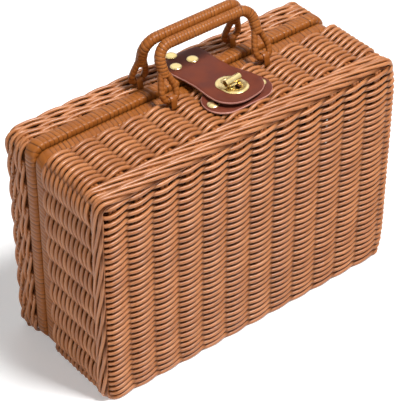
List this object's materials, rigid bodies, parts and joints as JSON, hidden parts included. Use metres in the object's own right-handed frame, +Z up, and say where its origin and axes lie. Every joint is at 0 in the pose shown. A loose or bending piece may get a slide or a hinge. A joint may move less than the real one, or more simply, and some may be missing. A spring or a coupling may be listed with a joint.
{
  "type": "wicker suitcase",
  "caption": "Twined wicker suitcase with a deep front shell, a shallow lid on cane loop hinges, wrapped rims, folding handles and a leather strap with a brass turn lock",
  "frame": {"origin": "middle of the width and depth, on the floor it stands on", "axes": "+X along the width, -Y towards the front face, +Z up"},
  "size_m": [0.32, 0.1338, 0.2696],
  "materials": {
    "weave": "satin round plastic cane",
    "wrap": "satin flat plastic cane, wound",
    "leather": "smooth, pale cut edges",
    "brass": "polished plate"
  },
  "bodies": {
    "front": {"front_panel": "weave", "front_wall": "weave", "front_wale": "weave", "front_rim": "wrap", "front_handle_ties": "wrap", "catch_patch": "leather", "catch_rivets": "brass", "lock_post": "brass", "hinge_loops": "wrap"},
    "turn_bar": {"lock_bar": "brass"},
    "lid": {"lid_panel": "weave", "lid_wall": "weave", "lid_wale": "weave", "lid_rim": "wrap", "lid_handle_ties": "wrap", "strap_back": "leather", "strap_rivets": "brass"},
    "strap": {"strap_tongue": "leather", "strap_plate": "brass"},
    "front_grip": {"front_handle": "wrap"},
    "lid_grip": {"lid_handle": "wrap"}
  },
  "joints": [
    {"name": "lid_hinge", "type": "hinge", "parent": "front", "child": "lid", "pos_m": [0, 0.0336, 0.0087], "axis": [-1, 0, 0], "range_deg": [0, 100]},
    {"name": "strap_lift", "type": "hinge", "parent": "lid", "child": "strap", "pos_m": [0.015, 0.0367, 0.2201], "axis": [-0.9925, -0.1219, 0], "range_deg": [0, 61]},
    {"name": "front_handle_fold", "type": "hinge", "parent": "front", "child": "front_grip", "pos_m": [0.021, 0.00691, 0.2212], "axis": [1, 0, 0], "range_deg": [0, 100]},
    {"name": "lid_handle_fold", "type": "hinge", "parent": "lid", "child": "lid_grip", "pos_m": [0.016, 0.04665, 0.2212], "axis": [-1, 0, 0], "range_deg": [0, 100]},
    {"name": "bar_turn", "type": "hinge", "parent": "front", "child": "turn_bar", "pos_m": [0.0209, -0.01134, 0.2277], "axis": [0, 0, 1], "range_deg": [0, 90]}
  ]
}
